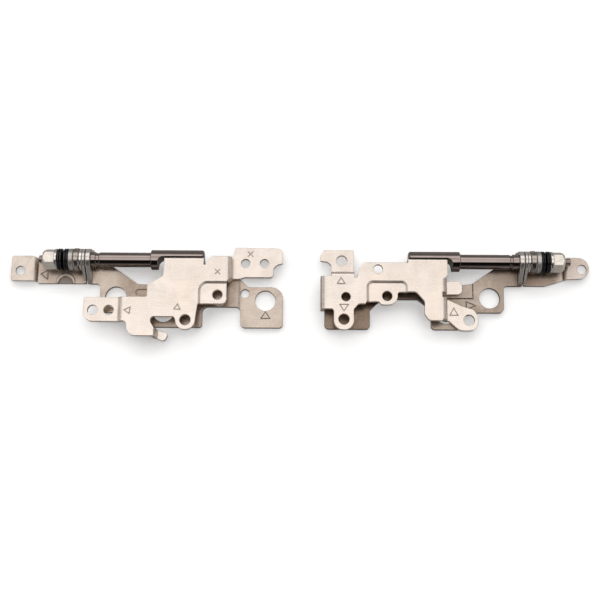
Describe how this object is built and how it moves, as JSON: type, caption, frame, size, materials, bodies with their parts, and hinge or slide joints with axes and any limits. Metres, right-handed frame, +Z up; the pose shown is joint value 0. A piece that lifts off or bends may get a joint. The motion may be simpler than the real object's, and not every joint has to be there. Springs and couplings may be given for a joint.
{
  "type": "laptop hinge pair",
  "caption": "Laptop friction hinge pair: nickel-plated sheet base and lid brackets turn about dark shafts clamped by washers, disc springs and lock nuts.",
  "frame": {"origin": "middle of the pair's box, on the table under the closed hinges", "axes": "+X along the hinge line from the left hinge to the right one, +Y to the back where the shafts are, +Z up from the lid brackets to the base brackets"},
  "size_m": [0.1404, 0.0232, 0.0061],
  "materials": {
    "nickel_base": "satin nickel plate, faint rolled grain",
    "nickel_lid": "satin nickel plate, slightly darker",
    "nickel_end": "satin nickel plate",
    "dark_shaft": "dark oiled gunmetal, turned",
    "rivet_steel": "dull steel",
    "washer_steel": "grey stamped steel",
    "bright_washer": "bright nickel",
    "copper_washer": "copper-tinted, satin",
    "black_spring": "black oxide",
    "bright_nut": "bright nickel"
  },
  "bodies": {
    "lid_side": {"left_lid_bracket": "nickel_lid", "left_end_bracket": "nickel_end", "left_ear_shim": "washer_steel", "right_lid_bracket": "nickel_lid", "right_end_bracket": "nickel_end", "right_ear_shim": "washer_steel"},
    "left_base_side": {"left_base_bracket": "nickel_base", "left_flange_rivets": "rivet_steel", "left_shaft": "dark_shaft", "left_thrust_washer": "bright_washer", "left_friction_washer": "copper_washer", "left_seat_washer": "washer_steel", "left_disc_springs": "black_spring", "left_nut_washer": "bright_washer", "left_lock_nut": "bright_nut"},
    "right_base_side": {"right_base_bracket": "nickel_base", "right_flange_rivets": "rivet_steel", "right_shaft": "dark_shaft", "right_thrust_washer": "bright_washer", "right_friction_washer": "copper_washer", "right_seat_washer": "washer_steel", "right_disc_springs": "black_spring", "right_nut_washer": "bright_washer", "right_lock_nut": "bright_nut"}
  },
  "joints": [
    {"name": "left_hinge", "type": "hinge", "parent": "lid_side", "child": "left_base_side", "pos_m": [-0.051, 0.00805, 0.0034], "axis": [-1, 0, 0], "range_deg": [0, 140]},
    {"name": "right_hinge", "type": "hinge", "parent": "lid_side", "child": "right_base_side", "pos_m": [0.0532, 0.00805, 0.0034], "axis": [-1, 0, 0], "range_deg": [0, 140]}
  ]
}
